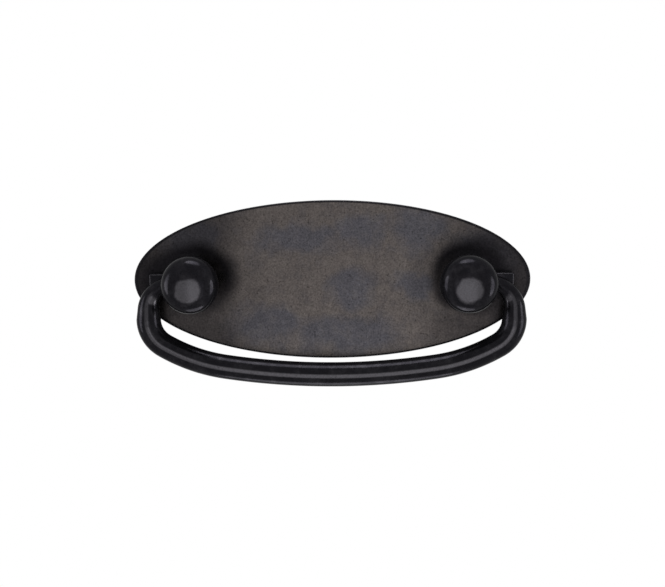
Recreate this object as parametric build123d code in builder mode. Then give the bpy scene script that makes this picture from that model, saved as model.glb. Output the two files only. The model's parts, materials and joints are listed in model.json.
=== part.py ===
from build123d import *
import math
import os

# Drop pull for a drawer: an oval backplate, two bun-headed posts and a bail that swings between them.
# Millimetres. +X runs along the backplate, +Z is up, and -Y points out of the drawer front.
# The origin is the middle of the backplate's back face.

# Backplate
fixing_centres = 76.0
plate_overhang = 18.0
plate_height = 44.8
plate_thickness = 1.5
plate_edge_radius = 0.5

# Post: foot, neck and bun-shaped head, measured outwards from the backplate's front
neck_radius = 4.2
foot_height = 1.0
foot_flare_radius = 0.8
foot_lip = 0.4
head_radius = 7.95
head_rise = 6.5
head_rim_radius = 4.5
crown_radius = 28.0
underside_fillet_radius = 0.5

# Spigot through the backplate, with a hole tapped for the fixing screw
fixing_hole_radius = 1.65
fixing_hole_floor = 0.9
spigot_wall = 1.35
spigot_clearance = 0.05
spigot_recess = 0.2
spigot_chamfer = 0.3

# Pivot of the bail in the posts
pivot_height = 6.0
pin_radius = 1.5
pin_clearance = 0.08
pin_end_gap = 0.4
pin_reveal = 1.22
pin_chamfer = 0.3

# Bail: round rod, bowed along its bottom, tapering up its arms to the pins
bail_radius = 3.4
arm_gap = 1.57
bow_radius = 200.0
shoulder_radius = 48.0
corner_radius = 8.5
corner_slope = 30.4
arm_straight = 2.85

# Stop lug on each post, behind the bail's arm
lug_reach = 13.0
lug_width = 4.2
lug_edge_radius = 0.4
stop_clearance = 0.3

# Places worked out from the sizes above
post_x = fixing_centres / 2
pivot_plane = Plane.XZ.offset(plate_thickness + pivot_height)
foot_radius = neck_radius + foot_flare_radius + foot_lip
head_height = pivot_height + head_rise
pin_hole_radius = pin_radius + pin_clearance
spigot_radius = fixing_hole_radius + spigot_wall
spigot_length = plate_thickness - spigot_recess
fixing_hole_depth = spigot_length + pivot_height - pin_hole_radius - fixing_hole_floor

# The head's rim is one round arc from the neck to where it meets the shallow crown
rim_centre = head_radius - head_rim_radius
neck_angle = math.acos((neck_radius - rim_centre) / head_rim_radius)
neck_top = head_height - head_rim_radius * math.sin(neck_angle)
crown_angle = math.asin(rim_centre / (crown_radius - head_rim_radius))
crown_centre = head_height - (crown_radius - head_rim_radius) * math.cos(crown_angle)
crown_top = crown_centre + crown_radius

# The bail's arms stand clear of the heads, and its bow is the arc that its shoulders and corners leave
arm_x = post_x + head_radius + arm_gap + bail_radius
bend_x = post_x + neck_radius + pin_reveal
bend_radius = arm_x - bend_x
slope = math.radians(corner_slope)
shoulder_span = shoulder_radius * math.sin(slope)
corner_span = corner_radius * (1 - math.sin(slope))
bow = math.asin((arm_x - shoulder_span - corner_span) / (bow_radius - shoulder_radius))
bow_rise = bow_radius * (1 - math.cos(bow))
shoulder_rise = shoulder_radius * (math.cos(bow) - math.cos(slope))
corner_rise = corner_radius * math.cos(slope)
bail_drop = bow_rise + shoulder_rise + corner_rise + arm_straight + bend_radius

# The arm's radius where it crosses the lug's edge sets how thick the lug can be
taper_length = arm_straight + bend_radius * math.pi / 2
stop_length = bend_radius * math.acos(1 - lug_width / 2 / bend_radius)
stop_radius = pin_radius + (bail_radius - pin_radius) * stop_length / taper_length
lug_thickness = pivot_height - stop_radius - stop_clearance

os.makedirs("parts", exist_ok=True)

# Backplate: a flat oval with a hole for each post's spigot and a softened front edge
with BuildPart() as backplate:
    with BuildSketch(Plane.XZ):
        Ellipse(post_x + plate_overhang, plate_height / 2)
        with GridLocations(fixing_centres, 0, 2, 1):
            Circle(spigot_radius + spigot_clearance, mode=Mode.SUBTRACT)
    extrude(amount=plate_thickness)
    front_rim = backplate.edges().filter_by(GeomType.ELLIPSE).sort_by(Axis.Y)[0]
    fillet(front_rim, plate_edge_radius)
backplate.part.label = "backplate"
export_step(backplate.part, "parts/backplate.step")

# Posts: a turned body with a lug cast on its outer side, drilled for the fixing screw and the bail's pin
for name, side in (("left_post", -1), ("right_post", 1)):
    # Across a turned profile, x is the radius and y the height above the backplate's front
    profile_plane = Plane((side * post_x, -plate_thickness, 0), x_dir=(side, 0, 0), z_dir=(0, 0, -side))
    foot_plane = Plane((side * post_x, -plate_thickness, 0), x_dir=(side, 0, 0), z_dir=(0, -1, 0))
    spigot_plane = Plane((side * post_x, -spigot_recess, 0), x_dir=(side, 0, 0), z_dir=(0, -1, 0))
    pin_plane = Plane((side * (post_x - pin_end_gap), pivot_plane.origin.Y, 0), z_dir=(side, 0, 0))
    turning_axis = Axis((side * post_x, 0, 0), (0, -1, 0))

    with BuildPart() as post:
        with BuildSketch(foot_plane):
            Rectangle(lug_reach, lug_width, align=(Align.MIN, Align.CENTER))
        extrude(amount=lug_thickness)
        lug_face = post.faces().sort_by(Axis.Y)[0]
        fillet(lug_face.edges() + post.edges().filter_by(Axis.Y), lug_edge_radius)

        with BuildSketch(profile_plane) as profile:
            with BuildLine():
                Polyline(
                    (neck_radius, neck_top),
                    (neck_radius, foot_height),
                    (foot_radius, foot_height),
                    (foot_radius, 0),
                    (spigot_radius, 0),
                    (spigot_radius, -spigot_length),
                    (0, -spigot_length),
                    (0, crown_top),
                )
                crown_degrees = math.degrees(crown_angle)
                rim_degrees = 90 - crown_degrees + math.degrees(neck_angle)
                CenterArc((0, crown_centre), crown_radius, 90, -crown_degrees)
                CenterArc((rim_centre, head_height), head_rim_radius, 90 - crown_degrees, -rim_degrees)
            make_face()
            flare = profile.vertices().sort_by_distance((neck_radius, foot_height))[0]
            fillet(flare, foot_flare_radius)
        revolve(axis=turning_axis)
        neck_point = turning_axis.position + turning_axis.direction * (plate_thickness + neck_top)
        neck_rim = post.edges().filter_by(GeomType.CIRCLE).sort_by_distance(neck_point)[0]
        fillet(neck_rim, underside_fillet_radius)

        with BuildSketch(spigot_plane):
            Circle(fixing_hole_radius)
        extrude(amount=fixing_hole_depth, mode=Mode.SUBTRACT)
        spigot_rims = post.edges().filter_by(GeomType.CIRCLE).group_by(Axis.Y)[-1]
        chamfer(spigot_rims, spigot_chamfer)

        with BuildSketch(pin_plane):
            Circle(pin_hole_radius)
        extrude(amount=pin_end_gap + head_radius, mode=Mode.SUBTRACT)
    post.part.label = name
    export_step(post.part, f"parts/{name}.step")

# Bail: half of the rod from the middle of the bow to the pin's tip, then its mirror image
with BuildPart() as bail:
    with BuildLine(pivot_plane) as rod_path:
        bow_arc = JernArc((0, -bail_drop), (1, 0), bow_radius, math.degrees(bow))
        shoulder_turn = corner_slope - math.degrees(bow)
        shoulder_arc = JernArc(bow_arc @ 1, bow_arc % 1, shoulder_radius, shoulder_turn)
        corner_arc = JernArc(shoulder_arc @ 1, shoulder_arc % 1, corner_radius, 90 - corner_slope)
    with BuildSketch(Plane.YZ):
        with Locations((pivot_plane.origin.Y, -bail_drop)):
            Circle(bail_radius)
    sweep(path=rod_path.wire())

    with BuildLine(pivot_plane) as arm_path:
        arm_line = Line(corner_arc @ 1, corner_arc @ 1 + (corner_arc % 1) * arm_straight)
        arm_bend = JernArc(arm_line @ 1, arm_line % 1, bend_radius, 90)
    with BuildSketch(Plane(arm_line @ 0, z_dir=arm_line % 0)):
        Circle(bail_radius)
    with BuildSketch(Plane(arm_bend @ 1, z_dir=arm_bend % 1)):
        Circle(pin_radius)
    sweep(path=arm_path.wire(), multisection=True)

    with BuildSketch(Plane(arm_bend @ 1, z_dir=arm_bend % 1)):
        Circle(pin_radius)
    extrude(amount=bend_x - post_x)
    pin_tip = (post_x, pivot_plane.origin.Y, 0)
    pin_rim = bail.edges().filter_by(GeomType.CIRCLE).sort_by_distance(pin_tip)[0]
    chamfer(pin_rim, pin_chamfer)
    mirror(about=Plane.YZ)
bail.part.label = "bail"
export_step(bail.part, "parts/bail.step")
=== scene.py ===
import json
import math
from functools import reduce

import bmesh
import bpy
import numpy as np
from bpy.props import FloatProperty, FloatVectorProperty, IntProperty, PointerProperty
from mathutils import Matrix, Vector


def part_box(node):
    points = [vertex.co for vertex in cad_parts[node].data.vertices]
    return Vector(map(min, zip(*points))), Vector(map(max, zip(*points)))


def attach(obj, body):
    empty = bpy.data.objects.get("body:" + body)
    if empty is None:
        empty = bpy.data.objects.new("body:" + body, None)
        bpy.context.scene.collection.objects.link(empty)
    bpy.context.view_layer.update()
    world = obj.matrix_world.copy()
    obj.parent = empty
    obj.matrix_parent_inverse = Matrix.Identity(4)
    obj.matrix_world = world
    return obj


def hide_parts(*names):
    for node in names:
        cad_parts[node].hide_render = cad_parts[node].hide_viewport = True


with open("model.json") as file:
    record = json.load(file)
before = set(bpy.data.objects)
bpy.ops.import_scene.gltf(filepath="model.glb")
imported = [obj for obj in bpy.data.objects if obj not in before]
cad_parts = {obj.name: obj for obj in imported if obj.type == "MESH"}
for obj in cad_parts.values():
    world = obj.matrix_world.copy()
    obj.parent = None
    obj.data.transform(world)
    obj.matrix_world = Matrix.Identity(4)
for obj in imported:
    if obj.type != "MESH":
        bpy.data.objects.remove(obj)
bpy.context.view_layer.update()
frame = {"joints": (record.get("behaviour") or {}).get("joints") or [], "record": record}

bl_info = {
    "name": "Drop Pull",
    "version": (1, 0, 0),
    "blender": (4, 5, 0),
    "location": "View3D > Sidebar > Drop Pull",
    "description": "Builds a drawer's drop pull: oval backplate, bun-headed posts and swinging bail",
    "category": "Add Mesh",
}

# Metres. +X runs along the backplate, +Z is up, and -Y points out of the drawer front.
PLATE_LOW, PLATE_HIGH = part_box("backplate")
POST_LOW, POST_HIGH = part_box("right_post")
BAIL_LOW, BAIL_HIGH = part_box("bail")
PIVOT = Vector(frame["joints"][0]["pos_m"])
FIXING = next(m for m in frame["record"]["mounts"] if m["name"] == "fixing_holes")["dims"]

MM = 0.001
WELD_DISTANCE = 2e-7
SHARP_ANGLE = math.radians(32)
WHITE = (1.0, 1.0, 1.0, 1.0)

# Points along each kind of run in a mesh
FLAT_POINTS = 4
ROUND_POINTS = 9
THREAD_POINTS = 90
NECK_POINTS = 12
RIM_POINTS = 60
CROWN_POINTS = 18
PIN_POINTS = 12
FLOOR_POINTS = 24

# Steps along half of the oval, its middle line, and the bail's bow, shoulder, corner, straight and bend
OVAL_STEPS = 200
SEAM_STEPS = 60
BAIL_STEPS = (120, 70, 50, 14, 70)

# Faces around each turned form
POST_SIDES = 160
PIN_HOLE_SIDES = 64
FLOOR_SIDES = 96

# Rings of points on the plate's faces, as shares of the way from a hole to the outline, closer at both ends
FACE_SHARES = np.concatenate([[0.0, 0.02], np.linspace(0.06, 0.96, 13), [0.985, 0.995, 1.0]])

# Ranges of a soft noise that a swing from low to high is spread over
NOISE_MIDDLE = (0.3, 0.7)
NOISE_SPAN = (0.25, 0.75)
NOISE_WIDE = (0.2, 0.8)

# Noises of the two finishes, in waves to a metre, along each axis where there are three
DRIFT_WAVES = 90.0
BLOTCH_WAVES = 260.0
WANDER_WAVES = 60.0
GRAIN_WAVES = 2200.0
SPECK_WAVES = 1200.0
HAIRLINE_WAVES = (5200.0, 300.0, 220.0)
SCUFF_WAVES = (2600.0, 300.0, 90.0)
CLOUD_WAVES = 320.0
BRONZE_GRAIN_WAVES = 2900.0
PIT_WAVES = 1500.0

# Where the plate's patina has turned cool: centre x and z, half width and half height, in millimetres
COOL_CLOUDS = (
    (-9.0, 12.0, 11.0, 5.0),
    (7.0, 14.5, 8.0, 4.5),
    (6.5, -2.5, 6.0, 6.0),
    (-18.0, -12.0, 11.0, 6.0),
    (4.0, -16.0, 15.0, 6.0),
    (24.5, -2.0, 4.5, 3.5),
    (24.0, 14.0, 8.0, 6.0),
    (-40.0, 11.0, 9.0, 6.0),
    (43.0, 7.0, 8.0, 8.0),
)
COOL_DRIFT = (14 * MM, 0.0, 14 * MM)
COOL_RUN = (1.5, 0.4)
COOL_BLOTCH = 0.25

# Painted shade on the plate at its ends, tips and around the posts, and a darker edge, in metres or half
# sizes. A run goes from where a tone starts to where it is full.
WANDER = 6 * MM
END_RUN = (19 * MM, 39 * MM)
END_LEAN = (-0.13, 0.0, -0.15)
END_TONE = 0.66
TIP_RUN = (39 * MM, 51 * MM)
TIP_LEAN = (0.07, 0.0, 0.0)
TIP_TONE = 0.86
EDGE_RUN = (0.968, 0.982)
# Painted shade around each post, where the heads' reflection and shadow darken the plate, weaker close to
# the post
POST_SHADE_CENTRE = (1.9 * MM, 0.0, 1.6 * MM)
POST_SHADE_HALVES = (12.5 * MM, math.inf, 10.4 * MM)
POST_SHADE_LEAN = (0.03, 0.0, 0.0)
POST_SHADE_RAGGED = 35.0
POST_SHADE_RUN = (1.22, 0.78)
NEAR_POST_RUN = (6.5 * MM, 9 * MM)
NEAR_POST_TONE = 0.5
PLATE_FRONT_RUN = (-0.5 * MM, -1 * MM)

# Fine marks on the plate: tones are factors of its colour, and scuffs are turned about Y, in radians
GRAIN_TONES = (0.68, 1.32)
HAIRLINE_TONES = (0.96, 1.04)
HAIRLINE_HEIGHT = 0.6
SPECK_RUN = (0.65, 0.74)
SPECK_TONE = 0.64
SCUFF_TURNS = (0.5, -0.35, 1.1)
SCUFF_RUN = (0.70, 0.78)
SCUFF_TONE = 1.18
PLATE_GLOSS_SWING = 0.06
PLATE_BUMP = 0.006 * MM

# Painted highlights on the bronze, and soft clouds of wear, in metres, measured to the side from the nearer
# post
CROWN_CENTRE = (0.0, 0.0, -1.2 * MM)
CROWN_RUN = (4.0 * MM, 2.9 * MM)
CROWN_RAGGED = 0.3 * MM
BAR_FRONT_RUN = (-10.82 * MM, -10.89 * MM)
BAR_LOW_RUN = (-10 * MM, -13 * MM)
BAR_END_RUN = (8.2 * MM, 9.2 * MM)
BAR_END_HIGHLIGHT = 0.6
BAR_TAPER_START = -10.35 * MM
BAR_TAPER = 0.13
SPOT_CENTRE = (11.3 * MM, 0.0, -4.6 * MM)
SPOT_RUN = (1.7 * MM, 0.5 * MM)
SPOT_RAGGED = 0.5 * MM
SPOT_FRONT_RUN = (-8.5 * MM, -9.2 * MM)
LUG_SIDE_RUN = (1.7 * MM, 1.9 * MM)
LUG_END_RUN = (12.6 * MM, 12.8 * MM)
LUG_ROOT_RUN = (5.4 * MM, 5.8 * MM)
LUG_FACE_RUN = (-4.5 * MM, -4.75 * MM)
LUG_CLEAR_RUN = (-5.3 * MM, -5.05 * MM)
LUG_HIGHLIGHT = 0.3
CLOUD_RUN = (0.4, 0.8)
CLOUD_WEAR = 0.22

# Fine marks on the bronze
BRONZE_GRAIN_TONES = (0.78, 1.22)
PIT_RUN = (0.66, 0.75)
PIT_TONE = 0.7
BRONZE_GLOSS_SWING = 0.04
BRONZE_BUMP = 0.005 * MM

# Camera and floor: the photo's width in pixels, the sensor's in millimetres, the rest in metres
PHOTO_WIDTH = 665
SENSOR_WIDTH = 36.0
CAMERA_REACH = (0.01, 10.0)
FLOOR_RUN = (0.07, 0.16)

# Lamps: name, shape, azimuth and elevation in degrees, distance, width and height in metres, then the
# setting that gives the brightness and the lamp's part of it
LAMPS = (
    ("front_lamp", "RECTANGLE", 1.5, -14.0, 0.60, 0.30, 0.30, "front_level", 1.0),
    ("fill_lamp", "RECTANGLE", 1.5, 5.0, 0.60, 0.30, 0.10, "front_level", 0.3),
    ("top_lamp", "ELLIPSE", 0.0, 84.0, 0.50, 0.34, 0.25, "side_level", 1.0),
    ("bottom_lamp", "ELLIPSE", 0.0, -92.0, 0.36, 0.26, 0.17, "side_level", 0.8),
    ("left_lamp", "ELLIPSE", -76.0, 0.0, 0.50, 0.24, 0.38, "side_level", 0.7),
    ("right_lamp", "ELLIPSE", 76.0, -8.0, 0.50, 0.24, 0.38, "side_level", 0.75),
)


def length(name, description, default):
    """A length property in metres."""
    return FloatProperty(
        name=name, description=description, default=default, min=0.0, precision=5, unit="LENGTH"
    )


def angle(name, description, degrees):
    """An angle property, given in degrees."""
    return FloatProperty(name=name, description=description, default=math.radians(degrees), subtype="ANGLE")


def share(name, description, default):
    """A property from 0 to 1."""
    return FloatProperty(
        name=name, description=description, default=default, min=0.0, max=1.0, subtype="FACTOR"
    )


def level(name, description, default):
    """A plain number that isn't negative."""
    return FloatProperty(name=name, description=description, default=default, min=0.0)


def colour(name, description, default):
    """A linear colour property."""
    return FloatVectorProperty(
        name=name, description=description, default=default, size=3, min=0.0, max=1.0, subtype="COLOR"
    )


class BackplateSettings(bpy.types.PropertyGroup):
    """Sizes of the backplate."""

    width: length("Width", "Length of the oval along X", PLATE_HIGH.x - PLATE_LOW.x)
    height: length("Height", "Height of the oval along Z", PLATE_HIGH.z - PLATE_LOW.z)
    thickness: length("Thickness", "Thickness of the sheet", PLATE_HIGH.y - PLATE_LOW.y)
    edge_radius: length("Edge radius", "Rounding of the front edge", 0.5 * MM)
    fixing_centres: length("Fixing centres", "Distance between the posts", FIXING["spacing_x_mm"] * MM)
    hole_radius: length("Hole radius", "Hole that takes a post's spigot", 3.05 * MM)


class PostSettings(bpy.types.PropertyGroup):
    """Sizes of the two posts, with heights measured outwards from the backplate's front."""

    head_radius: length("Head radius", "Radius of the bun-shaped head", (POST_HIGH.z - POST_LOW.z) / 2)
    head_rise: length("Head rise", "Height of the head's widest ring above the pivot", 6.5 * MM)
    rim_radius: length("Rim radius", "Rounding of the head's rim", 4.5 * MM)
    crown_radius: length("Crown radius", "Radius of the shallow crown on the head's front", 28.0 * MM)
    neck_radius: length("Neck radius", "Radius of the neck that holds the pin", 4.2 * MM)
    underside_fillet: length("Underside fillet", "Rounding between the neck and the head", 0.5 * MM)
    foot_height: length("Foot height", "Height of the foot's lip", 1.0 * MM)
    foot_flare: length("Foot flare", "Rounding between the neck and the foot", 0.8 * MM)
    foot_lip: length("Foot lip", "Flat ring outside the flare", 0.4 * MM)
    spigot_radius: length("Spigot radius", "Radius of the spigot in the backplate", 3.0 * MM)
    spigot_chamfer: length("Spigot chamfer", "Chamfers at the spigot's end", 0.3 * MM)
    fixing_hole_radius: length("Fixing hole", "Radius of the thread's crests", FIXING["hole_r_mm"] * MM)
    fixing_hole_floor: length("Fixing hole floor", "Wall left below the pin's hole", 0.9 * MM)
    thread_pitch: length("Thread pitch", "Pitch of the thread in the fixing hole", 0.7 * MM)
    thread_depth: length("Thread depth", "Depth of the thread in the fixing hole", 0.35 * MM)
    pin_hole_radius: length("Pin hole", "Radius of the cross hole for the bail's pin", 1.58 * MM)
    pin_end_gap: length("Pin end gap", "Room past the pin's end", 0.4 * MM)
    lug_width: length("Lug width", "Height of the stop lug along Z", 4.2 * MM)
    lug_thickness: length("Lug thickness", "How far the stop lug stands out", 3.453 * MM)
    lug_edge: length("Lug edge", "Rounding of the stop lug's edges", 0.4 * MM)


class BailSettings(bpy.types.PropertyGroup):
    """Sizes of the bail, a round rod whose middle line is a chain of arcs."""

    rod_radius: length("Rod radius", "Radius of the bow", (BAIL_HIGH.y - BAIL_LOW.y) / 2)
    pin_radius: length("Pin radius", "Radius of the pins", 1.5 * MM)
    pin_chamfer: length("Pin chamfer", "Chamfer at each pin's end", 0.3 * MM)
    bow_radius: length("Bow radius", "Bend of the bow's middle", 200.0 * MM)
    shoulder_radius: length("Shoulder radius", "Bend of the bow's ends", 48.0 * MM)
    corner_radius: length("Corner radius", "Bend from the bow into an arm", 8.5 * MM)
    corner_slope: angle("Corner slope", "Slope of the bow where its corner starts", 30.4)
    arm_straight: length("Arm straight", "Straight run above a corner", 2.85 * MM)
    bend_radius: length("Bend radius", "Bend from an arm into its pin", 7.5 * MM)
    rod_sides: IntProperty(name="Rod sides", description="Faces around the rod", default=72, min=12)


class FinishSettings(bpy.types.PropertyGroup):
    """Colours and gloss of the two finishes."""

    plate_warm: colour("Plate, warm", "Brown of the plate's patina", (0.0603, 0.0526, 0.0497))
    plate_cool: colour("Plate, cool", "Blue-grey of the plate's patina", (0.0468, 0.0451, 0.0511))
    # The colour below is painted shade at the plate's ends and tips, and also darkens the oval's edge
    plate_end_shade: colour("Plate, dark", "Patina at the plate's ends and edge", (0.0108, 0.0101, 0.0115))
    # The colour below is painted shade around the posts
    plate_post_shade: colour("Plate, soot", "Darkest patina, around the posts", (0.0068, 0.0063, 0.0073))
    plate_roughness: share("Plate roughness", "Roughness of the plate's satin face", 0.32)
    bronze: colour("Bronze", "Near-black of the posts and the bail", (0.0092, 0.0088, 0.0106))
    # The colour below is used both for the painted highlights and for the soft clouds of wear on the bronze
    bronze_highlight_and_wear: colour("Bronze, rubbed", "Bronze where it is rubbed brighter", (0.0545, 0.0523, 0.0579))
    bronze_roughness: share("Bronze roughness", "Roughness of the posts and the bail", 0.17)
    bronze_shine: share("Bronze shine", "How much of the bronze is bare metal and not matt oxide", 0.65)
    edge_tint: share("Edge tint", "How much of the grazing gloss the dark patina keeps", 0.7)


class StageSettings(bpy.types.PropertyGroup):
    """Camera, floor and lamps."""

    camera_distance: length("Camera distance", "From the camera to its target", 330.0 * MM)
    camera_yaw: angle("Camera yaw", "How far to the right the camera stands", 2.67)
    camera_pitch: angle("Camera pitch", "How far above the camera stands", 6.79)
    camera_roll: angle("Camera roll", "Turn of the camera about its view", -0.535)
    camera_target: FloatVectorProperty(
        name="Camera target",
        description="Point that the camera looks at",
        default=(0.36 * MM, 0.0, -4.07 * MM),
        size=3,
        precision=5,
        subtype="TRANSLATION",
    )
    focal_pixels: level("Focal length", "Focal length in pixels of the photo's width", 1162.0)
    floor_depth: length("Floor depth", "How far the floor lies below the pivot", 400.0 * MM)
    floor_radius: length("Floor radius", "Size of the round floor", 600.0 * MM)
    floor_colour: colour("Floor", "Pale floor", (0.86, 0.86, 0.86))
    world_level: level("World level", "Light from the world on matt surfaces", 0.6)
    front_level: level("Front lamps", "Brightness of the lamps in front", 1.0)
    side_level: level("Side lamps", "Brightness of the lamps on four sides", 8.0)


class DropPullSettings(bpy.types.PropertyGroup):
    """All settings of the drop pull."""

    backplate: PointerProperty(type=BackplateSettings)
    posts: PointerProperty(type=PostSettings)
    bail: PointerProperty(type=BailSettings)
    finish: PointerProperty(type=FinishSettings)
    stage: PointerProperty(type=StageSettings)


def full_turn(sides):
    """Evenly spaced angles of one full turn."""
    return np.linspace(0.0, 2 * np.pi, sides, endpoint=False)


def arc(centre, radius, start, end, count=ROUND_POINTS):
    """Points of a circular arc in a plane: the centre plus the radius turned from start to end, in
    degrees."""
    turn = np.radians(np.linspace(start, end, count))
    return np.stack([centre[0] + radius * np.cos(turn), centre[1] + radius * np.sin(turn)], axis=-1)


def line(start, end, count=FLAT_POINTS):
    """Evenly spaced points of a straight run."""
    return np.linspace(start, end, count)


def chain(*runs):
    """Runs of points joined end to end, with each shared end point kept once."""
    return np.concatenate([runs[0]] + [run[1:] for run in runs[1:]])


def set_at(flat, depth):
    """Points across the plate, given by x and z, set at depths along Y."""
    return np.stack([flat[..., 0], np.broadcast_to(depth, flat.shape[:-1]), flat[..., 1]], axis=-1)


def grid_faces(rows, columns):
    """Corner numbers of every quad of a grid whose last column is joined to its first."""
    row, column = np.meshgrid(np.arange(rows - 1), np.arange(columns), indexing="ij")
    right = (column + 1) % columns
    corners = [row * columns + column, (row + 1) * columns + column]
    corners += [(row + 1) * columns + right, row * columns + right]
    return np.stack(corners, axis=-1).reshape(-1, 4)


def mesh_from_grids(name, *grids):
    """One welded mesh of point grids, each closed around its columns, with its faces outwards."""
    points, faces, start = [], [], 0
    for grid in grids:
        rows, columns = grid.shape[:2]
        points.append(grid.reshape(-1, 3))
        faces.append(grid_faces(rows, columns) + start)
        start += rows * columns
    mesh = bpy.data.meshes.new(name)
    mesh.from_pydata(np.concatenate(points).tolist(), [], np.concatenate(faces).tolist())
    work = bmesh.new()
    work.from_mesh(mesh)
    bmesh.ops.remove_doubles(work, verts=work.verts[:], dist=WELD_DISTANCE)
    bmesh.ops.dissolve_degenerate(work, edges=work.edges[:], dist=WELD_DISTANCE)
    bmesh.ops.recalc_face_normals(work, faces=work.faces[:])
    work.to_mesh(mesh)
    work.free()
    return mesh


def add_object(name, data):
    """A new object in the scene."""
    thing = bpy.data.objects.new(name, data)
    bpy.context.scene.collection.objects.link(thing)
    return thing


def add_piece(name, mesh, body, node, material):
    """Shows a mesh as a piece that rides on a body in place of a solid."""
    mesh.polygons.foreach_set("use_smooth", np.ones(len(mesh.polygons), dtype=bool))
    mesh.set_sharp_from_angle(angle=SHARP_ANGLE)
    mesh.materials.clear()
    mesh.materials.append(material)
    piece = add_object(name, mesh)
    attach(piece, body)
    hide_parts(node)


def oval(size, turn, inset):
    """Points of an ellipse moved inwards along its normal: (a cos t, b sin t) less the inset times the
    normal, which is (b cos t, a sin t) made one unit long."""
    a, b = size.width / 2, size.height / 2
    normal = np.stack([b * np.cos(turn), a * np.sin(turn)], axis=-1)
    normal /= np.linalg.norm(normal, axis=-1, keepdims=True)
    return np.stack([a * np.cos(turn), b * np.sin(turn)], axis=-1) - np.asarray(inset)[..., None] * normal


def plate_half(size, side):
    """Both faces and the hole's wall of half a backplate. On each face straight lines run from the hole's
    circle to the half's outline, which is half an oval closed by the middle line, and the wall joins the
    two circles."""
    front, back = -size.thickness, 0.0
    turn = np.linspace(-np.pi / 2, np.pi / 2, OVAL_STEPS + 1)
    seam = np.linspace(1.0, -1.0, SEAM_STEPS + 1)[1:-1]
    outlines = []
    for inset in (size.edge_radius, 0.0):
        middle = np.stack([np.zeros_like(seam), seam * (size.height / 2 - inset)], axis=-1)
        outlines.append(np.concatenate([oval(size, turn, inset), middle]))
    centre = np.array([size.fixing_centres / 2, 0.0])
    spread = outlines[0] - centre
    circle = centre + size.hole_radius * spread / np.linalg.norm(spread, axis=-1, keepdims=True)
    flip = np.array([side, 1.0])
    grids = []
    for outline, depth in zip(outlines, (front, back)):
        grids.append(set_at((circle + FACE_SHARES[:, None, None] * (outline - circle)) * flip, depth))
    wall = np.broadcast_to(circle * flip, (FLAT_POINTS, *circle.shape))
    grids.append(set_at(wall, line(front, back)[:, None]))
    return grids


def plate_rim(size):
    """The backplate's rim: a quarter-round and a straight side carried along the oval, the quarter-round
    by moving the oval inwards as it comes forwards."""
    front, back, edge = -size.thickness, 0.0, size.edge_radius
    quarter = np.linspace(0.0, np.pi / 2, ROUND_POINTS)
    inset = np.concatenate([edge * (1 - np.sin(quarter)), [0.0, 0.0]])
    depth = np.concatenate([front + edge * (1 - np.cos(quarter)), [(front + edge) / 2, back]])
    turn = full_turn(2 * OVAL_STEPS) - np.pi / 2
    return set_at(oval(size, turn[None, :], inset[:, None]), depth[:, None])


def backplate_mesh(size):
    """The backplate: two halves, each with its hole, and the rim around both."""
    halves = plate_half(size, -1.0) + plate_half(size, 1.0)
    return mesh_from_grids("backplate_sheet", *halves, plate_rim(size))


def post_profile(size, thickness, pivot_height):
    """Radius and height of the turned post, from the fixing hole's floor round the spigot, foot and neck
    to the head, and the heights of the thread's two ends. The head is one round rim that meets a shallow
    crown: the crown's centre lies on the axis, its radius less the rim's from the rim's centre."""
    spigot_end = -(thickness + POST_HIGH.y)
    hole_top = pivot_height - size.pin_hole_radius - size.fixing_hole_floor
    hole_mouth = spigot_end + size.spigot_chamfer
    head_height = pivot_height + size.head_rise
    rim_x = size.head_radius - size.rim_radius
    crown_turn = math.asin(rim_x / (size.crown_radius - size.rim_radius))
    crown_y = head_height - (size.crown_radius - size.rim_radius) * math.cos(crown_turn)
    crown_start = 90 - math.degrees(crown_turn)
    flare_x, flare_y = size.neck_radius + size.foot_flare, size.foot_height + size.foot_flare
    foot_x = flare_x + size.foot_lip
    fillet_x = size.neck_radius + size.underside_fillet
    fillet_reach = size.rim_radius + size.underside_fillet
    fillet_y = head_height - math.sqrt(fillet_reach**2 - (fillet_x - rim_x) ** 2)
    fillet_turn = math.degrees(math.atan2(head_height - fillet_y, rim_x - fillet_x))
    hole, spigot, chamfer = size.fixing_hole_radius, size.spigot_radius, size.spigot_chamfer
    profile = chain(
        line((0.0, hole_top), (hole, hole_top)),
        line((hole, hole_top), (hole, hole_mouth), THREAD_POINTS),
        line((hole, hole_mouth), (hole + chamfer, spigot_end)),
        line((hole + chamfer, spigot_end), (spigot - chamfer, spigot_end)),
        line((spigot - chamfer, spigot_end), (spigot, hole_mouth)),
        line((spigot, hole_mouth), (spigot, 0.0)),
        line((spigot, 0.0), (foot_x, 0.0)),
        line((foot_x, 0.0), (foot_x, size.foot_height)),
        line((foot_x, size.foot_height), (flare_x, size.foot_height)),
        arc((flare_x, flare_y), size.foot_flare, -90, -180),
        line((size.neck_radius, flare_y), (size.neck_radius, fillet_y), NECK_POINTS),
        arc((fillet_x, fillet_y), size.underside_fillet, 180, fillet_turn),
        arc((rim_x, head_height), size.rim_radius, fillet_turn - 180, crown_start, RIM_POINTS),
        arc((0.0, crown_y), size.crown_radius, crown_start, 90, CROWN_POINTS),
    )
    return profile, hole_top, hole_mouth


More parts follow.
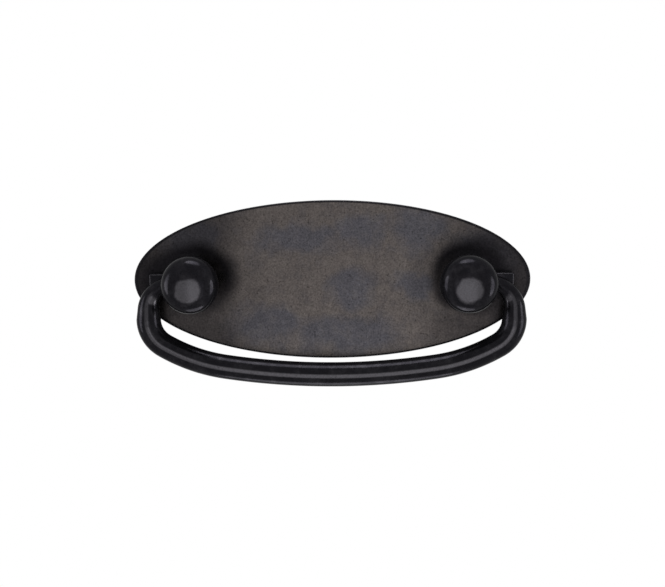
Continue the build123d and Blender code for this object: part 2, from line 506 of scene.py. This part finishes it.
def turned_grid(size, side, post_x, thickness, pivot_height):
    """The turned post: the profile carried round the post's axis, with the fixing hole's wall pushed out
    by a triangle wave of height over pitch less turn, which is a screw thread. It fades over a pitch at
    both ends."""
    profile, hole_top, hole_mouth = post_profile(size, thickness, pivot_height)
    turn = full_turn(POST_SIDES)
    radius = np.repeat(profile[:, :1], POST_SIDES, axis=1)
    height = np.repeat(profile[:, 1:], POST_SIDES, axis=1)
    phase = height / size.thread_pitch - turn / (2 * np.pi)
    wave = 1 - np.abs(2 * (phase - np.floor(phase)) - 1)
    from_end = np.minimum(hole_top - height, height - hole_mouth)
    fade = np.clip(from_end / size.thread_pitch, 0, 1)
    on_wall = np.isclose(radius, size.fixing_hole_radius)
    radius = radius + np.where(on_wall, size.thread_depth * wave * fade, 0.0)
    x = side * (post_x + radius * np.cos(turn))
    return np.stack([x, -thickness - height, radius * np.sin(turn)], axis=-1)


def lug_grid(size, side, post_x, thickness):
    """The stop lug: a rounded rectangle carried outwards, its edge turned in by a quarter round, closed
    on its middle at both ends. Its root lies in the neck's wall, half way between the neck's outside and
    the fixing hole."""
    reach, half, edge = POST_HIGH.x - post_x, size.lug_width / 2, size.lug_edge
    root = (size.neck_radius + size.fixing_hole_radius) / 2
    corners = [(reach - edge, half - edge, 0), (root + edge, half - edge, 90)]
    corners += [(root + edge, edge - half, 180), (reach - edge, edge - half, 270)]
    outline = np.concatenate([arc((x, z), edge, start, start + 90) for x, z, start in corners])
    inner = np.concatenate([arc((x, z), 0.0, start, start + 90) for x, z, start in corners])
    middle = np.broadcast_to(np.array([(root + reach) / 2, 0.0]), outline.shape)
    quarter = np.linspace(0.0, np.pi / 2, ROUND_POINTS)
    spread = np.concatenate([[1.0], np.cos(quarter)])[:, None, None]
    walls = inner + spread * (outline - inner)
    flat = np.concatenate([middle[None], walls, middle[None]])
    rise = size.lug_thickness - edge + edge * np.sin(quarter)
    height = np.concatenate([[0.0, 0.0], rise, [size.lug_thickness]])[:, None]
    return set_at((flat + np.array([post_x, 0.0])) * np.array([side, 1.0]), -thickness - height)


def pin_hole_grid(size, side, post_x):
    """The cross hole for the bail's pin: a cylinder from just past the pin's end to outside the post,
    closed at both ends."""
    turn = full_turn(PIN_HOLE_SIDES)
    radius = np.array([0.0, 1.0, 1.0, 0.0])[:, None] * size.pin_hole_radius
    along = np.array([0.0, 0.0, 1.0, 1.0])[:, None] * (size.pin_end_gap + size.head_radius)
    y, z = PIVOT.y + radius * np.cos(turn), radius * np.sin(turn)
    x = np.broadcast_to(side * (post_x - size.pin_end_gap + along), y.shape)
    return np.stack([x, y, z], axis=-1)


def post_mesh(name, size, side, post_x, thickness):
    """A whole post: the turned body joined with its lug and drilled for the pin."""
    grids = {
        "body": turned_grid(size, side, post_x, thickness, -PIVOT.y - thickness),
        "UNION": lug_grid(size, side, post_x, thickness),
        "DIFFERENCE": pin_hole_grid(size, side, post_x),
    }
    tools = {}
    for use, grid in grids.items():
        tool_name = f"{name}_{use.lower()}"
        tools[use] = add_object(tool_name, mesh_from_grids(tool_name, grid))
    for use in ("UNION", "DIFFERENCE"):
        cut = tools["body"].modifiers.new(use.title(), "BOOLEAN")
        cut.operation = use
        cut.solver = "EXACT"
        cut.object = tools[use]
    depsgraph = bpy.context.evaluated_depsgraph_get()
    whole = bpy.data.meshes.new_from_object(tools["body"].evaluated_get(depsgraph))
    for tool in tools.values():
        bpy.data.meshes.remove(tool.data)
    whole.name = name
    return whole


def bail_path(size, pin_reach):
    """Half of the rod's middle line in the pivot plane, as lengths, points and directions. Each run
    starts where the last one ends and in its direction: the bow, the shoulder, the corner, a straight run
    and the bend. Along an arc, x grows by the radius times the change of sine, and z by the radius times
    the drop of cosine."""
    slope, right = size.corner_slope, math.pi / 2
    spans = size.shoulder_radius * math.sin(slope) + size.corner_radius * (1 - math.sin(slope))
    bow = math.asin((pin_reach + size.bend_radius - spans) / (size.bow_radius - size.shoulder_radius))
    runs = (
        (size.bow_radius, bow),
        (size.shoulder_radius, slope - bow),
        (size.corner_radius, right - slope),
        (math.inf, size.arm_straight),
        (size.bend_radius, right),
    )
    place, heading, travelled = np.zeros(2), 0.0, 0.0
    lengths, points, headings = [np.zeros(1)], [place[None]], [np.zeros(1)]
    for (radius, extent), steps in zip(runs, BAIL_STEPS):
        step = np.linspace(0.0, 1.0, steps + 1)[1:]
        if math.isinf(radius):
            run = extent * step
            turned = np.full_like(step, heading)
            moved = run[:, None] * np.array([math.cos(heading), math.sin(heading)])
        else:
            run = radius * extent * step
            turned = heading + extent * step
            aside, up = np.sin(turned) - math.sin(heading), math.cos(heading) - np.cos(turned)
            moved = radius * np.stack([aside, up], axis=-1)
        lengths.append(travelled + run)
        points.append(place + moved)
        headings.append(turned)
        place, heading, travelled = points[-1][-1], turned[-1], lengths[-1][-1]
    return np.concatenate(lengths), np.concatenate(points), np.concatenate(headings)


def bail_mesh(size, post_x):
    """The bail: circles carried along the rod's middle line, each square to it, with the pins' chamfered
    ends closed on the line. The rod keeps its radius up to the straight run, tapers evenly by length to
    the end of the bend, and is a plain pin from there on. The half is then mirrored."""
    pin_reach = BAIL_HIGH.x - size.rod_radius - size.bend_radius
    lengths, points, headings = bail_path(size, pin_reach)
    taper_length = size.arm_straight + size.bend_radius * math.pi / 2
    blend = np.clip((lengths - lengths[-1] + taper_length) / taper_length, 0.0, 1.0)
    radii = size.rod_radius + (size.pin_radius - size.rod_radius) * blend

    pin_length = pin_reach - post_x
    along = np.linspace(0.0, pin_length - size.pin_chamfer, PIN_POINTS)[1:]
    along = np.concatenate([along, [pin_length, pin_length]])
    pin_points = points[-1] - np.stack([along, np.zeros_like(along)], axis=-1)
    pin_radii = np.full_like(along, size.pin_radius)
    pin_radii[-2:] = size.pin_radius - size.pin_chamfer, 0.0

    points = np.concatenate([points, pin_points])
    points[:, 1] -= points[-1, 1]
    headings = np.concatenate([headings, np.full_like(along, math.pi)])
    radii = np.concatenate([radii, pin_radii])
    points = np.concatenate([points[:0:-1] * np.array([-1.0, 1.0]), points])
    headings = np.concatenate([-headings[:0:-1], headings])
    radii = np.concatenate([radii[:0:-1], radii])

    turn = full_turn(size.rod_sides)
    out = np.cos(turn) * radii[:, None]
    x = points[:, :1] - np.sin(headings)[:, None] * out
    z = points[:, 1:] + np.cos(headings)[:, None] * out
    y = PIVOT.y + np.sin(turn) * radii[:, None]
    return mesh_from_grids("bail_rod", np.stack([x, y, z], axis=-1))


class NodeSketch:
    """Short ways to add nodes to one node tree and link them."""

    def __init__(self, tree):
        self.tree = tree
        tree.nodes.clear()

    def set(self, socket, value):
        """Links a socket to another one, or gives it a plain value."""
        if isinstance(value, bpy.types.NodeSocket):
            self.tree.links.new(value, socket)
        else:
            socket.default_value = value

    def add(self, kind, inputs=None, **settings):
        """A new node with its settings and inputs."""
        node = self.tree.nodes.new(kind)
        for name, value in settings.items():
            setattr(node, name, value)
        for name, value in (inputs or {}).items():
            self.set(node.inputs[name], value)
        return node

    def work_out(self, operation, first, second=0.0, clamp=False):
        """The result of one sum of two values."""
        inputs = {0: first, 1: second}
        return self.add("ShaderNodeMath", inputs, operation=operation, use_clamp=clamp).outputs[0]

    def total(self, *values):
        """The values added together."""
        return reduce(lambda first, second: self.work_out("ADD", first, second), values)

    def product(self, *values):
        """The values multiplied together."""
        return reduce(lambda first, second: self.work_out("MULTIPLY", first, second), values)

    def highest(self, *values):
        """The highest of the values."""
        return reduce(lambda first, second: self.work_out("MAXIMUM", first, second), values)

    def vector(self, operation, first, second):
        """The vector that one sum of two vectors gives."""
        return self.add("ShaderNodeVectorMath", {0: first, 1: second}, operation=operation).outputs[0]

    def lean(self, place, slopes):
        """The parts of a place, each times its slope, added together."""
        node = self.add("ShaderNodeVectorMath", {0: place, 1: slopes}, operation="DOT_PRODUCT")
        return node.outputs["Value"]

    def reach(self, place, centre=(0.0, 0.0, 0.0), halves=(1.0, math.inf, 1.0)):
        """Distance from a centre, with each axis divided by its half size, so that an endless one drops
        out."""
        from_centre = self.vector("SUBTRACT", place, centre)
        scaled = self.vector("MULTIPLY", from_centre, [1 / half for half in halves])
        return self.add("ShaderNodeVectorMath", {0: scaled}, operation="LENGTH").outputs["Value"]

    def split(self, place):
        """The three parts of a place."""
        return tuple(self.add("ShaderNodeSeparateXYZ", {0: place}).outputs)

    def from_post(self, place, post_x):
        """A place measured from the axis of the nearer post, with X outwards."""
        x, y, z = self.split(place)
        aside = self.work_out("SUBTRACT", self.work_out("ABSOLUTE", x), post_x)
        return self.add("ShaderNodeCombineXYZ", {0: aside, 1: y, 2: z}).outputs[0]

    def noise(self, place, waves, detail=2.0, roughness=0.5, output=0):
        """Soft noise from 0 to 1, with so many waves to a metre. Output 1 is a vector of three such
        noises."""
        inputs = {"Vector": place, "Scale": waves, "Detail": detail, "Roughness": roughness}
        return self.add("ShaderNodeTexNoise", inputs).outputs[output]

    def streaks(self, place, waves, detail, turn=0.0):
        """Soft noise on coordinates turned about Y, with its own waves to a metre along each axis."""
        turned = self.add("ShaderNodeMapping", {"Vector": place, "Rotation": (0.0, turn, 0.0)}).outputs[0]
        scaled = self.add("ShaderNodeMapping", {"Vector": turned, "Scale": waves}).outputs[0]
        return self.noise(scaled, 1.0, detail)

    def ease(self, value, start, end, low=0.0, high=1.0):
        """A value that eases from low to high as the input goes from start to end."""
        inputs = {"Value": value, "From Min": start, "From Max": end, "To Min": low, "To Max": high}
        return self.add("ShaderNodeMapRange", inputs, interpolation_type="SMOOTHSTEP").outputs[0]

    def mix(self, factor, first, second, blend="MIX"):
        """Two colours mixed. A Mix node's colours are its inputs 6 and 7 and its output 2."""
        node = self.add("ShaderNodeMix", data_type="RGBA", blend_type=blend)
        self.set(node.inputs[0], factor)
        self.set(node.inputs[6], first)
        self.set(node.inputs[7], second)
        return node.outputs[2]

    def toned(self, base, tone):
        """A colour times a tone."""
        grey = self.add("ShaderNodeCombineColor", {0: tone, 1: tone, 2: tone}).outputs[0]
        return self.mix(1.0, base, grey, "MULTIPLY")


def rgba(values):
    """A linear colour with full cover."""
    return (*values, 1.0)


def start_material(name):
    """A new material, a sketch of its empty node tree, and the object's coordinates."""
    material = bpy.data.materials.new(name)
    material.use_nodes = True
    sketch = NodeSketch(material.node_tree)
    return material, sketch, sketch.add("ShaderNodeTexCoord").outputs["Object"]


def named_material(name, make, settings):
    """The material of that name, made once."""
    return bpy.data.materials.get(name) or make(name, settings)


def metal_output(sketch, base, shine, roughness, height, bump_distance, tint):
    """The shader of both finishes, part bare metal and part matt oxide, with bump from a height in units
    of the bump's distance."""
    bump = sketch.add("ShaderNodeBump", {"Strength": 1.0, "Distance": bump_distance, "Height": height})
    inputs = {
        "Base Color": base,
        "Metallic": shine,
        "Roughness": roughness,
        "Normal": bump.outputs[0],
        "Specular IOR Level": 0.0,
        "Specular Tint": (tint, tint, tint, 1.0),
    }
    shader = sketch.add("ShaderNodeBsdfPrincipled", inputs)
    sketch.add("ShaderNodeOutputMaterial", {"Surface": shader.outputs[0]})


def cool_patina(sketch, place, blotch):
    """How cool the patina is: each cloud eases in towards its centre, at places that a noise shifts, the
    strongest cloud counts, and blotches make it uneven."""
    drift = sketch.noise(place, DRIFT_WAVES, detail=4.0, output=1)
    shift = sketch.vector("MULTIPLY", sketch.vector("SUBTRACT", drift, (0.5, 0.5, 0.5)), COOL_DRIFT)
    shifted = sketch.vector("ADD", place, shift)
    clouds = []
    for x, z, half_width, half_height in COOL_CLOUDS:
        halves = (half_width * MM, math.inf, half_height * MM)
        clouds.append(sketch.ease(sketch.reach(shifted, (x * MM, 0.0, z * MM), halves), *COOL_RUN))
    uneven = sketch.ease(blotch, *NOISE_MIDDLE, -COOL_BLOTCH, COOL_BLOTCH)
    return sketch.work_out("ADD", sketch.highest(*clouds), uneven, clamp=True)


def painted_end_shade(sketch, place, wander, plate):
    """How dark the plate is painted: painted shade eases in towards the ends from a wandering, leaning line,
    more at the tips, and the oval's edge is dark all the way, where the distance in half sizes comes to 1."""
    across = sketch.work_out("ABSOLUTE", sketch.split(place)[0])
    end_reach = sketch.total(across, wander, sketch.lean(place, END_LEAN))
    tip_reach = sketch.total(across, sketch.lean(place, TIP_LEAN))
    oval_reach = sketch.reach(place, halves=(plate.width / 2, math.inf, plate.height / 2))
    end = sketch.ease(end_reach, *END_RUN, 0.0, END_TONE)
    tip = sketch.ease(tip_reach, *TIP_RUN, 0.0, TIP_TONE)
    return sketch.highest(end, tip, sketch.ease(oval_reach, *EDGE_RUN))


def painted_post_shade(sketch, place, wander, post_x):
    """How much painted shade lies around the posts: an oval with a ragged edge around each post, both moved
    a little to the left, half as strong close to the post, on the plate's front alone."""
    from_post = sketch.from_post(place, post_x)
    leaning = sketch.vector("ADD", from_post, sketch.vector("MULTIPLY", place, POST_SHADE_LEAN))
    reach = sketch.reach(leaning, POST_SHADE_CENTRE, POST_SHADE_HALVES)
    ragged = sketch.total(reach, sketch.product(wander, POST_SHADE_RAGGED))
    near_post = sketch.ease(sketch.reach(from_post), *NEAR_POST_RUN, NEAR_POST_TONE, 1.0)
    front = sketch.ease(sketch.split(place)[1], *PLATE_FRONT_RUN)
    return sketch.product(sketch.ease(ragged, *POST_SHADE_RUN), front, near_post)


def plate_patina(name, settings):
    """Patina on sheet metal: warm and cool clouds, painted shade at the oval's ends and around the posts, a
    darker edge, with fine grain, upright hairlines, dark specks and pale scuffs."""
    finish, plate = settings.finish, settings.backplate
    material, sketch, place = start_material(name)
    blotch = sketch.noise(place, BLOTCH_WAVES, detail=5.0, roughness=0.6)
    wander = sketch.ease(sketch.noise(place, WANDER_WAVES, detail=1.0), *NOISE_WIDE, -WANDER, WANDER)
    cool = cool_patina(sketch, place, blotch)
    dark = painted_end_shade(sketch, place, wander, plate)
    post_shade = painted_post_shade(sketch, place, wander, plate.fixing_centres / 2)
    base = sketch.mix(cool, rgba(finish.plate_warm), rgba(finish.plate_cool))
    # Painted shade at the plate's ends and tips, and a darker oval edge
    base = sketch.mix(dark, base, rgba(finish.plate_end_shade))
    # Painted shade around the posts
    base = sketch.mix(post_shade, base, rgba(finish.plate_post_shade))

    grain = sketch.noise(place, GRAIN_WAVES, detail=3.0, roughness=0.7)
    hairline = sketch.streaks(place, HAIRLINE_WAVES, detail=2.0)
    speck = sketch.ease(sketch.noise(place, SPECK_WAVES, detail=1.0), *SPECK_RUN, 1.0, SPECK_TONE)
    scuffs = []
    for turn in SCUFF_TURNS:
        streak = sketch.streaks(place, SCUFF_WAVES, detail=1.0, turn=turn)
        scuffs.append(sketch.ease(streak, *SCUFF_RUN, 1.0, SCUFF_TONE))
    grain_tone = sketch.ease(grain, *NOISE_SPAN, *GRAIN_TONES)
    hairline_tone = sketch.ease(hairline, *NOISE_MIDDLE, *HAIRLINE_TONES)
    base = sketch.toned(base, sketch.product(grain_tone, hairline_tone, speck, sketch.highest(*scuffs)))

    smooth = finish.plate_roughness - PLATE_GLOSS_SWING
    rough = finish.plate_roughness + PLATE_GLOSS_SWING
    roughness = sketch.ease(blotch, *NOISE_SPAN, smooth, rough)
    height = sketch.total(grain, sketch.product(hairline, HAIRLINE_HEIGHT))
    metal_output(sketch, base, 1.0, roughness, height, PLATE_BUMP, finish.edge_tint)
    return material


def painted_crown_highlight(sketch, from_post, cloud):
    """Painted highlight on a head's crown: a round patch with a ragged edge, a little below the middle."""
    ragged = sketch.ease(cloud, *NOISE_MIDDLE, -CROWN_RAGGED, CROWN_RAGGED)
    return sketch.ease(sketch.total(sketch.reach(from_post, CROWN_CENTRE), ragged), *CROWN_RUN)


def painted_bar_highlight(sketch, from_post):
    """Painted highlight along the bail: a line on the rod's front, low down on the bar and fainter on the
    arms, that narrows as it climbs an arm."""
    aside, y, z = sketch.split(from_post)
    climb = sketch.product(sketch.work_out("SUBTRACT", z, BAR_TAPER_START), BAR_TAPER)
    front = sketch.ease(sketch.work_out("SUBTRACT", y, sketch.highest(climb, 0.0)), *BAR_FRONT_RUN)
    low = sketch.ease(z, *BAR_LOW_RUN)
    return sketch.product(front, sketch.highest(low, sketch.ease(aside, *BAR_END_RUN, 0.0, BAR_END_HIGHLIGHT)))


def painted_arm_highlight(sketch, from_post, cloud):
    """Painted highlight on the front of each of the bail's arms: a small round spot with a ragged edge."""
    ragged = sketch.ease(cloud, *NOISE_MIDDLE, -SPOT_RAGGED, SPOT_RAGGED)
    spot = sketch.ease(sketch.total(sketch.reach(from_post, SPOT_CENTRE), ragged), *SPOT_RUN)
    return sketch.product(spot, sketch.ease(sketch.split(from_post)[1], *SPOT_FRONT_RUN))


def painted_lug_highlight(sketch, from_post):
    """A faint painted highlight along the front edges of each stop lug: its two sides and its end, clear of
    the post and the bail."""
    aside, y, z = sketch.split(from_post)
    face = sketch.product(sketch.ease(y, *LUG_FACE_RUN), sketch.ease(aside, *LUG_ROOT_RUN))
    side = sketch.ease(sketch.work_out("ABSOLUTE", z), *LUG_SIDE_RUN)
    edges = sketch.highest(side, sketch.ease(aside, *LUG_END_RUN))
    return sketch.product(face, sketch.ease(y, *LUG_CLEAR_RUN, 0.0, LUG_HIGHLIGHT), edges)


def dark_bronze(name, settings):
    """Near-black bronze: painted highlights on the heads' crowns, along the bail, on the arms and on the
    lugs' edges, lighter in soft clouds of wear, with fine grain and small pits."""
    finish = settings.finish
    material, sketch, place = start_material(name)
    from_post = sketch.from_post(place, settings.backplate.fixing_centres / 2)
    cloud = sketch.noise(place, CLOUD_WAVES, detail=4.0, roughness=0.6)
    # Painted highlights on the crowns, the bail, the arms and the lugs' edges, and soft clouds of real wear
    highlight_and_wear = sketch.highest(
        painted_crown_highlight(sketch, from_post, cloud),
        painted_bar_highlight(sketch, from_post),
        painted_arm_highlight(sketch, from_post, cloud),
        painted_lug_highlight(sketch, from_post),
        sketch.ease(cloud, *CLOUD_RUN, 0.0, CLOUD_WEAR),
    )
    base = sketch.mix(highlight_and_wear, rgba(finish.bronze), rgba(finish.bronze_highlight_and_wear))

    grain = sketch.noise(place, BRONZE_GRAIN_WAVES, detail=3.0, roughness=0.7)
    pit = sketch.ease(sketch.noise(place, PIT_WAVES, detail=1.0), *PIT_RUN)
    grain_tone = sketch.ease(grain, *NOISE_SPAN, *BRONZE_GRAIN_TONES)
    base = sketch.toned(base, sketch.product(grain_tone, sketch.ease(pit, 0.0, 1.0, 1.0, PIT_TONE)))

    smooth = finish.bronze_roughness - BRONZE_GLOSS_SWING
    rough = finish.bronze_roughness + BRONZE_GLOSS_SWING
    roughness = sketch.ease(cloud, *NOISE_MIDDLE, rough, smooth)
    height = sketch.work_out("SUBTRACT", grain, pit)
    metal_output(sketch, base, finish.bronze_shine, roughness, height, BRONZE_BUMP, finish.edge_tint)
    return material


class DROPPULL_OT_backplate(bpy.types.Operator):
    """Build the oval backplate"""

    bl_idname = "drop_pull.backplate"
    bl_label = "Backplate"

    def execute(self, context):
        settings = context.scene.drop_pull
        material = named_material("mottled_patina", plate_patina, settings)
        mesh = backplate_mesh(settings.backplate)
        add_piece("oval_backplate", mesh, "base", "backplate", material)
        return {"FINISHED"}


class DROPPULL_OT_posts(bpy.types.Operator):
    """Build the two bun-headed posts"""

    bl_idname = "drop_pull.posts"
    bl_label = "Posts"

    def execute(self, context):
        settings = context.scene.drop_pull
        material = named_material("near_black_bronze", dark_bronze, settings)
        post_x = settings.backplate.fixing_centres / 2
        for name, side in (("left_post", -1.0), ("right_post", 1.0)):
            mesh = post_mesh(name + "_turned", settings.posts, side, post_x, settings.backplate.thickness)
            add_piece(name + "_turned", mesh, "base", name, material)
        return {"FINISHED"}


class DROPPULL_OT_bail(bpy.types.Operator):
    """Build the bail that swings between the posts"""

    bl_idname = "drop_pull.bail"
    bl_label = "Bail"

    def execute(self, context):
        settings = context.scene.drop_pull
        material = named_material("near_black_bronze", dark_bronze, settings)
        mesh = bail_mesh(settings.bail, settings.backplate.fixing_centres / 2)
        add_piece("bail_rod", mesh, "bail", "bail", material)
        return {"FINISHED"}


def outwards(azimuth, elevation):
    """The direction out from the pull's front, turned to the right by the azimuth and raised by the
    elevation."""
    level_part = math.cos(elevation)
    return Vector((math.sin(azimuth) * level_part, -math.cos(azimuth) * level_part, math.sin(elevation)))


def add_camera(stage):
    """The camera stands off its target along a direction turned by yaw and pitch, and is rolled about its
    view."""
    roll = stage.camera_roll
    away = outwards(stage.camera_yaw, stage.camera_pitch)
    right = (-away).cross(Vector((0.0, 0.0, 1.0))).normalized()
    up = right.cross(-away)
    turned_right = math.cos(roll) * right + math.sin(roll) * up
    turned_up = math.cos(roll) * up - math.sin(roll) * right
    data = bpy.data.cameras.new("camera")
    data.sensor_width = SENSOR_WIDTH
    data.lens = SENSOR_WIDTH * stage.focal_pixels / PHOTO_WIDTH
    data.clip_start, data.clip_end = CAMERA_REACH
    camera = add_object("camera", data)
    stand = Vector(stage.camera_target) + stage.camera_distance * away
    turn = Matrix((turned_right, turned_up, away)).transposed().to_4x4()
    camera.matrix_world = Matrix.Translation(stand) @ turn
    bpy.context.scene.camera = camera


def add_lamp(name, shape, azimuth, elevation, distance, width, height, brightness):
    """An area lamp that faces the pull from a direction measured from its front, in degrees. Its power is
    its brightness times pi times its area."""
    away = outwards(math.radians(azimuth), math.radians(elevation))
    data = bpy.data.lights.new(name, "AREA")
    data.shape = shape
    data.size, data.size_y = width, height
    area = width * height * (math.pi / 4 if shape == "ELLIPSE" else 1.0)
    data.energy = brightness * math.pi * area
    lamp = add_object(name, data)
    lamp.location = PIVOT + distance * away
    lamp.rotation_mode = "QUATERNION"
    lamp.rotation_quaternion = away.to_track_quat("Z", "Y")
    lamp.visible_camera = False


def seen_directly(sketch):
    """1 for a camera ray and for one mirrored or let through to it, and 0 for the rest."""
    path = sketch.add("ShaderNodeLightPath").outputs
    return sketch.highest(path["Is Camera Ray"], path["Is Glossy Ray"], path["Is Transmission Ray"])


def add_floor(stage):
    """A round pale floor, a grid of radius and turn. It takes the pull's shadow near its middle, and
    further out it eases into the white of the background."""
    turn = full_turn(FLOOR_SIDES)
    radius = np.linspace(0.0, stage.floor_radius, FLOOR_POINTS)[:, None]
    x, y = radius * np.cos(turn), radius * np.sin(turn)
    mesh = mesh_from_grids("floor", np.stack([x, y, np.full_like(x, PIVOT.z - stage.floor_depth)], axis=-1))
    material, sketch, place = start_material("pale_floor")
    reach = sketch.reach(place, halves=(1.0, 1.0, math.inf))
    white = sketch.product(sketch.ease(reach, *FLOOR_RUN), seen_directly(sketch))
    matt = sketch.add("ShaderNodeBsdfDiffuse", {"Color": rgba(stage.floor_colour)})
    glow = sketch.add("ShaderNodeEmission", {"Color": WHITE, "Strength": 1.0})
    mixed = sketch.add("ShaderNodeMixShader", {0: white, 1: matt.outputs[0], 2: glow.outputs[0]})
    sketch.add("ShaderNodeOutputMaterial", {"Surface": mixed.outputs[0]})
    mesh.materials.append(material)
    floor = add_object("floor", mesh)


def add_world(stage):
    """A white world, at full strength where it is seen and softer as light on matt surfaces."""
    world = bpy.data.worlds.new("white_world")
    world.use_nodes = True
    sketch = NodeSketch(world.node_tree)
    strength = sketch.ease(seen_directly(sketch), 0.0, 1.0, stage.world_level, 1.0)
    background = sketch.add("ShaderNodeBackground", {"Color": WHITE, "Strength": strength})
    sketch.add("ShaderNodeOutputWorld", {"Surface": background.outputs[0]})
    bpy.context.scene.world = world


class DROPPULL_OT_stage(bpy.types.Operator):
    """Add the camera, the floor, the lamps and the world"""

    bl_idname = "drop_pull.stage"
    bl_label = "Stage"

    def execute(self, context):
        stage = context.scene.drop_pull.stage
        context.scene.view_settings.view_transform = "Standard"
        add_camera(stage)
        add_floor(stage)
        add_world(stage)
        for *lamp, setting, part in LAMPS:
            add_lamp(*lamp, part * getattr(stage, setting))
        return {"FINISHED"}


class DROPPULL_PT_sidebar(bpy.types.Panel):
    """The drop pull's pieces and settings"""

    bl_idname = "DROPPULL_PT_sidebar"
    bl_label = "Drop Pull"
    bl_space_type = "VIEW_3D"
    bl_region_type = "UI"
    bl_category = "Drop Pull"

    def draw(self, context):
        settings = context.scene.drop_pull
        for operator, group in OPERATORS:
            box = self.layout.box()
            box.operator(operator.bl_idname)
            for name in getattr(settings, group).__annotations__:
                box.prop(getattr(settings, group), name)
        box = self.layout.box()
        for name in settings.finish.__annotations__:
            box.prop(settings.finish, name)


OPERATORS = (
    (DROPPULL_OT_backplate, "backplate"),
    (DROPPULL_OT_posts, "posts"),
    (DROPPULL_OT_bail, "bail"),
    (DROPPULL_OT_stage, "stage"),
)
CLASSES = (
    BackplateSettings,
    PostSettings,
    BailSettings,
    FinishSettings,
    StageSettings,
    DropPullSettings,
    DROPPULL_OT_backplate,
    DROPPULL_OT_posts,
    DROPPULL_OT_bail,
    DROPPULL_OT_stage,
    DROPPULL_PT_sidebar,
)


def register():
    """Makes the settings, operators and panel known to Blender."""
    for each in CLASSES:
        bpy.utils.register_class(each)
    bpy.types.Scene.drop_pull = PointerProperty(type=DropPullSettings)


def unregister():
    """Takes them out again, in reverse."""
    del bpy.types.Scene.drop_pull
    for each in reversed(CLASSES):
        bpy.utils.unregister_class(each)


def main():
    """Builds every piece and the stage."""
    register()
    bpy.ops.drop_pull.backplate()
    bpy.ops.drop_pull.posts()
    bpy.ops.drop_pull.bail()
    bpy.ops.drop_pull.stage()


if __name__ == "__main__":
    main()
